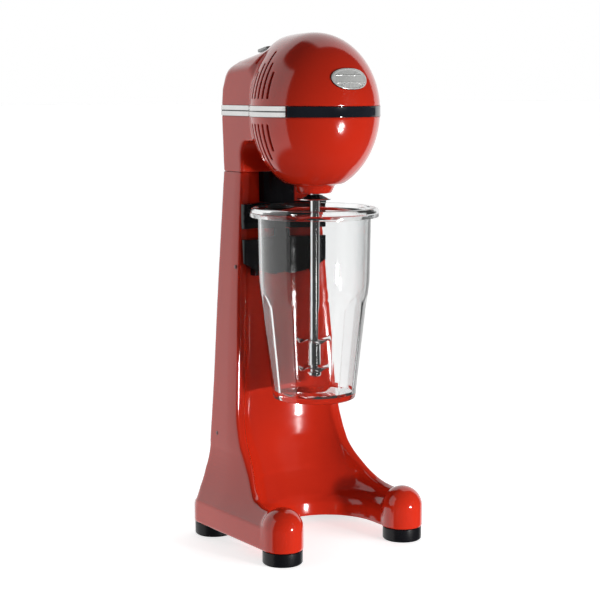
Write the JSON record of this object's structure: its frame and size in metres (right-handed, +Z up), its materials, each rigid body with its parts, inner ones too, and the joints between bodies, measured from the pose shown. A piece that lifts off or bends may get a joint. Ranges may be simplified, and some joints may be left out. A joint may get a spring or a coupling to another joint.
{
  "type": "milkshake mixer",
  "caption": "Single-spindle bar drink mixer: domed motor head on a tapering column with a forked foot, and a clear mixing cup hanging from a holder on the column.",
  "frame": {"origin": "centre of the footprint on the bench", "axes": "+X to the machine's left-to-right as seen from the front, +Y to the back, +Z up"},
  "size_m": [0.177, 0.157, 0.48],
  "materials": {
    "red_gloss": "gloss red moulding",
    "black_plastic": "satin black",
    "black_rubber": "matt rubber",
    "chrome": "bright chrome",
    "steel": "zinc plated",
    "silver_trim": "bright silver",
    "clear_cup": "clear polycarbonate",
    "copper": "enamelled winding",
    "core_steel": "laminated steel",
    "inner_plastic": "cream moulding"
  },
  "bodies": {
    "stand": {"stand_shell": "red_gloss", "base_plate": "steel", "foot_front_left": "black_rubber", "foot_front_right": "black_rubber", "foot_rear_left": "black_rubber", "foot_rear_right": "black_rubber", "foot_screws": "steel", "rear_cover": "red_gloss", "cover_screws": "steel", "side_plugs": "black_plastic", "cord_gland": "black_rubber", "terminal_block": "inner_plastic", "head_upper_shell": "red_gloss", "head_lower_shell": "red_gloss", "trim_band_front": "black_plastic", "trim_band_rear": "silver_trim", "badge_plate": "chrome", "badge_field": "black_plastic", "switch_bezel": "black_plastic", "holder_bracket": "black_plastic", "holder_cradle": "black_plastic", "switch_housing": "black_plastic", "lever_pin": "steel", "lever_spring": "steel", "microswitch": "black_plastic", "nose_seal": "black_rubber", "bearing_lower": "steel", "bearing_upper": "steel", "motor_bracket_lower": "steel", "motor_bracket_upper": "steel", "stator_core": "core_steel", "field_coils": "copper", "carbon_brushes": "black_plastic", "brush_holders": "inner_plastic", "motor_grommets": "black_rubber", "motor_screws": "steel", "neck_screws": "steel"},
    "rotor": {"spindle_shaft": "chrome", "splash_disc": "chrome", "agitator_upper": "chrome", "agitator_lower": "chrome", "agitator_sleeve": "chrome", "spindle_nut": "chrome", "shaft_coupling": "steel", "motor_shaft": "steel", "cooling_fan": "inner_plastic", "armature_core": "core_steel", "armature_coils": "copper", "commutator": "copper"},
    "cup_body": {"cup": "clear_cup"},
    "lever": {"cup_lever": "black_plastic"},
    "button": {"microswitch_button": "inner_plastic"},
    "paddle": {"switch_paddle": "chrome"}
  },
  "joints": [
    {"name": "spindle_spin", "type": "hinge", "parent": "stand", "child": "rotor", "pos_m": [0, -0.011, 0.3], "axis": [0, 0, 1], "continuous": true},
    {"name": "cup_pull", "type": "slide", "parent": "stand", "child": "cup_body", "axis": [0, -1, 0], "range_m": [0, 0.02]},
    {"name": "lever_press", "type": "hinge", "parent": "stand", "child": "lever", "pos_m": [0, 0.051, 0.338], "axis": [1, 0, 0], "range_deg": [0, 2], "stiffness_Nm_per_rad": 0.4, "springref_deg": -1.72},
    {"name": "button_press", "type": "slide", "parent": "stand", "child": "button", "axis": [0, 1, 0], "range_m": [0, 0.0006]},
    {"name": "paddle_tilt", "type": "hinge", "parent": "stand", "child": "paddle", "pos_m": [0, 0.04941, 0.45706], "axis": [1, 0, 0], "range_deg": [-12, 12]}
  ],
  "couplings": [
    {"joint": "button_press", "follows": "lever_press", "m_per_rad": 0.016}
  ]
}
